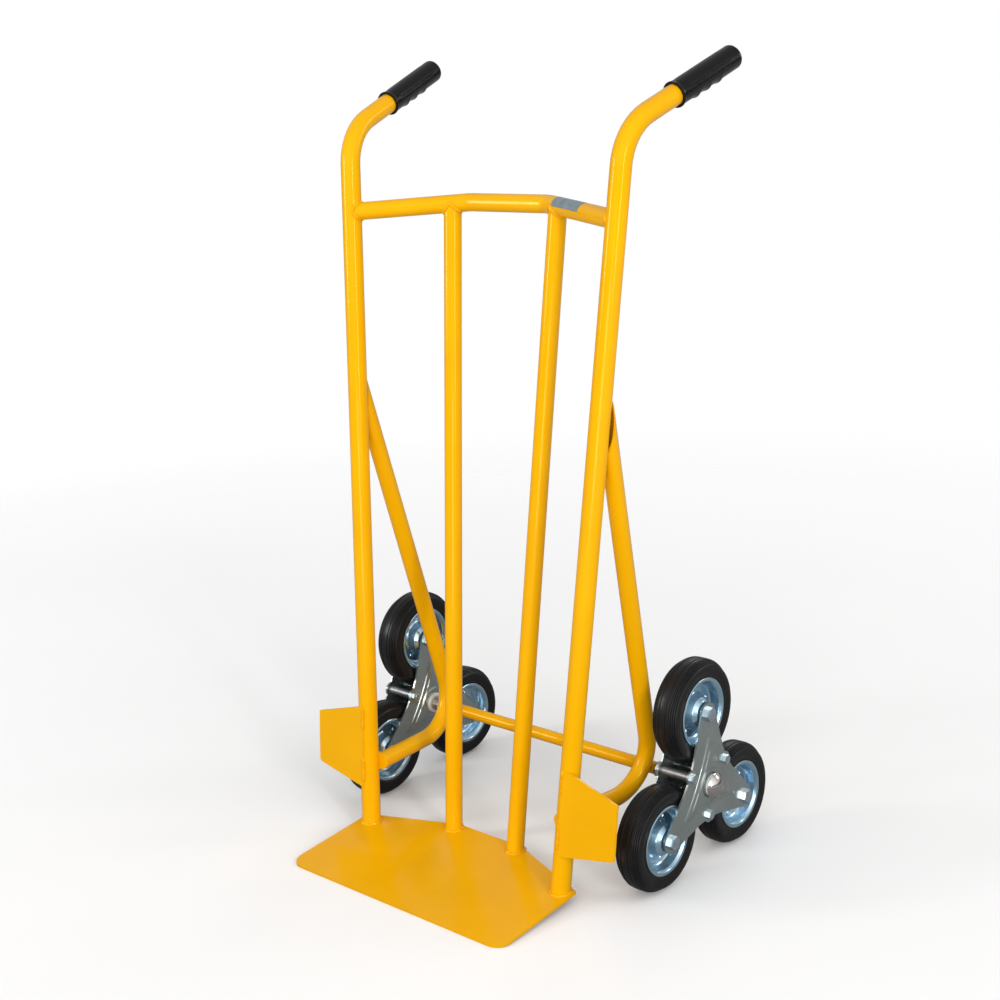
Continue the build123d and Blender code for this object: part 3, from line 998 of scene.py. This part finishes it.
def guard_back_weld(name, rail, sign, low, high, seed):
    """Bead in the corner between the rail's side and the back of its guard plate."""
    depth = 0.0121
    stations = 13
    front = Vector((0, -rail.along.z, rail.along.y)).normalized()
    out = Vector((sign, 0, 0)) * math.sqrt(rail.radius**2 - depth**2) + front * depth
    path = []
    for k in range(stations):
        z = low + (high - low) * k / (stations - 1)
        path.append(rail.start + rail.along * ((z - rail.start.z) / rail.along.z) + out)
    inward = [Vector((sign, 0, 0))] * stations
    bead(name, path, inward, 0.0019, seed, closed=False)


def side_weld(name, run, rail, seed):
    """Bead on the part of a tube's end that touches the rail."""
    steps = 90
    path = []
    for k in range(steps):
        out = run.around(TAU * k / steps)
        origin = run.start + out * run.radius
        if not run.misses(rail, origin):
            path.append((k, origin + run.along * run.distance_to_tube(rail, origin, far=True), out))
    gap = max(range(len(path)), key=lambda k: (path[k][0] - path[k - 1][0]) % steps)
    path = path[gap:] + path[:gap]
    _, points, inward = zip(*path)
    bead(name, points, inward, 0.0027, seed, closed=False)


def build_guard_welds(side, sign, index, rail):
    """Three stitches along the front edge of a guard, and two behind it."""
    node = f"wheel_guard_{side}"
    bottom, top = (corner.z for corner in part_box(node))
    stitches = ((0.06, 0.36, 0.0028), (0.34, 0.72, 0.0012), (0.70, 0.97, 0.0023))
    for part, (first, last, size) in enumerate(stitches):
        low, high = bottom + (top - bottom) * first, bottom + (top - bottom) * last
        seed = 3 * index + part
        guard_edge_weld(f"weld_guard_front_{side}_{part}", node, low, high, size, 51 + seed)
        if part != 1:
            guard_back_weld(f"weld_guard_back_{side}_{part}", rail, sign, low, high - 0.02, 61 + seed)


def build_welds():
    underside = frame["record"]["mounts"][0]
    plate_normal = -Vector(underside["axis"])
    plate_top = Vector(underside["pos_m"]) + plate_normal * PLATE_SHEET
    for index, (side, sign) in enumerate(SIDES):
        rail = TubeLine(f"rail_{side}", 2, 0.30, 0.90, RAIL_R)
        upright = TubeLine(f"upright_{side}", 2, 0.20, 0.90, TUBE_R)
        bar = TubeLine("top_crossbar", 0, sign * 0.13, sign * 0.21, TUBE_R)
        for name, tube, first_seed in (("rail", rail, 11), ("upright", upright, 21)):
            to_plate = partial(tube.distance_to_plane, plate_top, plate_normal)
            ring_weld(f"weld_{name}_foot_{side}", tube, to_plate, 48, 0.0029, first_seed + index)
        to_bar, to_rail = partial(upright.distance_to_tube, bar), partial(bar.distance_to_tube, rail)
        ring_weld(f"weld_upright_top_{side}", upright, to_bar, 64, 0.0027, 31 + index)
        ring_weld(f"weld_crossbar_end_{side}", bar, to_rail, 64, 0.0027, 41 + index)
        build_guard_welds(side, sign, index, rail)
        bracket = f"rear_bracket_{side}"
        foot_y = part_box(bracket)[0].y
        run = TubeLine(bracket, 1, foot_y + 0.030, foot_y + 0.065, TUBE_R, ceiling=0.2)
        side_weld(f"weld_bracket_foot_{side}", run, rail, 71 + index)


# ---------------------------------------------------------------- grips, caps and label
GRIP_R = 0.0175
GRIP_L = 0.134
GRIP_MOUTH_R = 0.0152
CAP_RISE = 11.0                 # height of the axle caps' dome, millimetres


def ring_points(centre, down, side, radius, count):
    angles = [TAU * j / count for j in range(count)]
    return [centre + (down * math.cos(a) + side * math.sin(a)) * radius for a in angles]


def band_faces(first, second, count):
    """Quads between two rings of vertices."""
    return [(first + j, first + (j + 1) % count, second + (j + 1) % count, second + j) for j in range(count)]


def grip_radius(s, angle):
    """Radius of a grip at a distance from its mouth and an angle from its underside."""
    rim_h, rim_w, end_r, bump_h, rib_h = 0.0015, 0.0045, 0.006, 0.0025, 0.0002
    r = GRIP_R
    if s < rim_w:
        r += rim_h * math.sin(math.pi * min(1.0, 0.25 + 0.75 * s / rim_w)) ** 0.6
    below = max(0.0, math.cos(angle)) ** 3
    for bump in (0.037, 0.061, 0.086):
        width = 0.0075 if s < bump else 0.0030
        r += bump_h * below * math.exp(-(((s - bump) / width) ** 2))
    ribbed = max(0.0, min(1.0, (s - 0.012) / 0.006)) * max(0.0, min(1.0, (GRIP_L - 0.022 - s) / 0.006))
    r += rib_h * ribbed * math.sin(angle * 30) * (1 - below)
    if s > GRIP_L - end_r:
        t = (s - (GRIP_L - end_r)) / end_r
        r -= end_r * (1 - math.sqrt(max(0.0, 1 - t * t)))
    return r


def grip_mesh(name, start, along):
    """Grip in row coordinates: rolled rim, lengthwise ribs, finger bumps below, domed end."""
    side = along.cross(Vector((0, 0, -1))).normalized()
    down = side.cross(along).normalized()
    around, stations = 120, 150
    vertices, faces = [], []
    for i in range(stations + 1):
        s = GRIP_L * i / stations
        for j in range(around):
            angle = TAU * j / around
            out = down * math.cos(angle) + side * math.sin(angle)
            vertices.append(start + along * s + out * grip_radius(s, angle))
    for i in range(stations):
        faces += band_faces(i * around, (i + 1) * around, around)
    mouth = len(vertices)
    deep = mouth + around
    vertices += ring_points(start, down, side, GRIP_MOUTH_R, around)
    vertices += ring_points(start + along * 0.004, down, side, GRIP_MOUTH_R, around)
    faces += band_faces(0, mouth, around) + band_faces(mouth, deep, around)
    faces.append(tuple(range(deep, deep + around)))
    tip = len(vertices)
    vertices.append(start + along * GRIP_L)
    end = stations * around
    faces += [(end + j, end + (j + 1) % around, tip) for j in range(around)]
    return mesh_of(name, vertices, faces, sharp_degrees=50)


def build_grips():
    for side, _ in SIDES:
        node = f"grip_{side}"
        low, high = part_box(node)
        first = slice_centre(node, 1, low.y + 0.035)
        along = (slice_centre(node, 1, high.y - 0.035) - first).normalized()
        centre = first + along * (((low.y + high.y) / 2 - first.y) / along.y)
        mesh = grip_mesh(f"{node}_mesh", centre - along * (GRIP_L / 2), along)
        piece(f"handle_grip_{side}", mesh, GRIP, "frame", None, [node])


def build_caps():
    low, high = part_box("axle_caps")
    radius = (high.z - low.z) / 2 / MM
    centre = (low + high) / 2
    sphere = (radius**2 + CAP_RISE**2) / (2 * CAP_RISE)
    profile = [(0.0, CAP_RISE)]
    for k in range(1, 25):
        r = (radius - 0.6) * k / 24
        profile.append((r, math.sqrt(sphere**2 - r**2) - sphere + CAP_RISE))
    profile += [(radius, 0.5), (radius, 0.0), (radius - 1.0, 0.0), (radius - 1.4, 0.8)]
    mesh = mesh_of("axle_cap", *lathe(profile, 96, closed=False), sharp_degrees=50)
    for side, sign in SIDES:
        base_x = (high.x if sign > 0 else -low.x) - CAP_RISE * MM
        at = side_matrix(sign, Vector((sign * base_x, centre.y, centre.z)))
        both = ["axle_caps"] if side == "left" else ()
        piece(f"axle_cap_{side}", mesh, CHROME, "frame", at, both)


def build_label():
    """Blank foil label wrapped round the top of the crossbar's right-hand run."""
    bar = TubeLine("top_crossbar", 0, 0.13, 0.21, TUBE_R)
    up = Vector((0, -0.55, 0.84))
    up = (up - bar.along * up.dot(bar.along)).normalized()
    across = bar.along.cross(up)
    first, last = 0.104, 0.176
    half_wrap = 52
    thickness = 0.00022
    steps, arcs = 24, 20
    vertices, faces = [], []
    for i in range(steps + 1):
        x = first + (last - first) * i / steps
        centre = bar.start + bar.along * ((x - bar.start.x) / bar.along.x)
        for j in range(arcs + 1):
            angle = math.radians(half_wrap * (2 * j / arcs - 1))
            out = up * math.cos(angle) + across * math.sin(angle)
            vertices.append(centre + out * (bar.radius + thickness))
    for i in range(steps):
        for j in range(arcs):
            a = i * (arcs + 1) + j
            faces.append((a, a + 1, a + arcs + 2, a + arcs + 1))
    piece("blank_label", mesh_of("label", vertices, faces), FOIL, "frame")


# ---------------------------------------------------------------- studio
def heading(azimuth, elevation=0.0):
    """Unit vector from the truck, turned to the right of the front and raised."""
    a, e = math.radians(azimuth), math.radians(elevation)
    return Vector((math.sin(a) * math.cos(e), -math.cos(a) * math.cos(e), math.sin(e)))


def build_floor():
    """Pale floor that fades into the surround. Only the camera sees it pale; metals see a grey one."""
    segments = 64
    disc = [(radius, 0.0) for radius in (0, 600, 1200, 2000, 3200)]
    mesh = mesh_of("floor", *lathe(disc, segments, closed=False))
    floor = bpy.data.objects.new("floor", mesh)
    bpy.context.scene.collection.objects.link(floor)
    s = Shader("pale_floor")
    s.tones(1.5, 3.0, (0.90, 0.90, 0.90), (0.92, 0.92, 0.92))
    s.set(Roughness=0.7, Specular_IOR_Level=0.2)
    bounce = s.node("ShaderNodeBsdfDiffuse")
    bounce.inputs["Color"].default_value = (FLOOR_BOUNCE, FLOOR_BOUNCE, FLOOR_BOUNCE, 1.0)
    clear = s.node("ShaderNodeBsdfTransparent")
    distance = s.node("ShaderNodeVectorMath", operation="LENGTH")
    s.link(s.place, distance.inputs[0])
    shown = s.node("ShaderNodeMixShader")
    fade = s.node("ShaderNodeMixShader")
    s.link(s.node("ShaderNodeLightPath").outputs["Is Camera Ray"], shown.inputs["Fac"])
    s.link(bounce.outputs["BSDF"], shown.inputs[1])
    s.link(s.bsdf.outputs["BSDF"], shown.inputs[2])
    s.link(s.spread(distance.outputs["Value"], 0.9, 3.0, 0.0, 1.0), fade.inputs["Fac"])
    s.link(shown.outputs["Shader"], fade.inputs[1])
    s.link(clear.outputs["BSDF"], fade.inputs[2])
    s.link(fade.outputs["Shader"], s.tree.nodes["Material Output"].inputs["Surface"])
    mesh.materials.append(s.material)


def build_surround():
    """White to the camera; to other rays brightest at the front, with a dark band along the horizon."""
    world = bpy.data.worlds.new("studio")
    world.use_nodes = True
    w = Nodes(world.node_tree)
    place = w.node("ShaderNodeTexCoord").outputs["Generated"]
    facing = w.node("ShaderNodeVectorMath", operation="DOT_PRODUCT")
    facing.inputs[1].default_value = heading(LIGHT_AZIMUTH, LIGHT_ELEVATION)
    w.link(place, facing.inputs[0])
    glow = w.spread(facing.outputs["Value"], 0.0, 1.0, SURROUND, SURROUND + FRONT_GLOW)
    split = w.node("ShaderNodeSeparateXYZ")
    w.link(place, split.inputs[0])
    band = w.spread(w.math("ABSOLUTE", split.outputs["Z"]), 0.02, 0.20, HORIZON, 1.0)
    choice = w.node("ShaderNodeMix", data_type="FLOAT")
    w.link(w.node("ShaderNodeLightPath").outputs["Is Camera Ray"], choice.inputs[0])
    w.link(w.math("MULTIPLY", glow, band), choice.inputs[2])
    choice.inputs[3].default_value = 1.0
    background = w.tree.nodes["Background"]
    background.inputs["Color"].default_value = (1.0, 1.0, 1.0, 1.0)
    w.link(choice.outputs[0], background.inputs["Strength"])
    bpy.context.scene.world = world


def panel(name, azimuth, distance, height, size, radiance):
    """A rectangular light that faces the truck's middle."""
    light = bpy.data.lights.new(name, "AREA")
    light.shape = "RECTANGLE"
    light.size, light.size_y = size
    light.energy = radiance * math.pi * size[0] * size[1]
    made = bpy.data.objects.new(name, light)
    made.location = heading(azimuth) * distance + Vector((0, 0, height))
    made.rotation_euler = (Vector((0, 0, 0.55)) - made.location).to_track_quat("-Z", "Y").to_euler()
    bpy.context.scene.collection.objects.link(made)


def build_studio():
    build_floor()
    build_surround()
    bpy.context.scene.view_settings.view_transform = "Standard"
    panel("window", 65.0, 3.6, 1.35, (0.30, 1.7), 22.0)
    panel("left", -42.0, 3.4, 1.5, (0.6, 1.2), 14.0)
    panel("low_front", 32.0, 3.5, 0.45, (1.2, 0.8), 7.0)
    panel("behind", 200.0, 3.2, 2.2, (1.2, 0.9), 2.5)
    panel("right", 138.0, 3.3, 1.9, (0.9, 1.0), 4.5)


def build_camera():
    """The camera looks at the truck from its front right, a little above, and is rolled slightly."""
    azimuth, elevation, roll = 41.65, 14.91, math.radians(-2.63)
    target = Vector((-0.0060, 0.0173, 0.5510))
    distance = 2.451
    focal = 1.60924
    sensor = 36.0
    back = heading(azimuth, elevation)
    right = Vector((0, 0, 1)).cross(back).normalized()
    up = back.cross(right)
    turned_right = right * math.cos(roll) + up * math.sin(roll)
    turned_up = up * math.cos(roll) - right * math.sin(roll)
    data = bpy.data.cameras.new("camera")
    data.sensor_width = sensor
    data.lens = sensor * focal
    camera = bpy.data.objects.new("camera", data)
    turn = Matrix((turned_right, turned_up, back)).transposed().to_4x4()
    camera.matrix_world = Matrix.Translation(target + back * distance) @ turn
    bpy.context.scene.collection.objects.link(camera)
    bpy.context.scene.camera = camera


build_camera()
build_studio()
dress_cad_nodes()
build_wheels()
build_stars()
build_welds()
build_grips()
build_caps()
build_label()
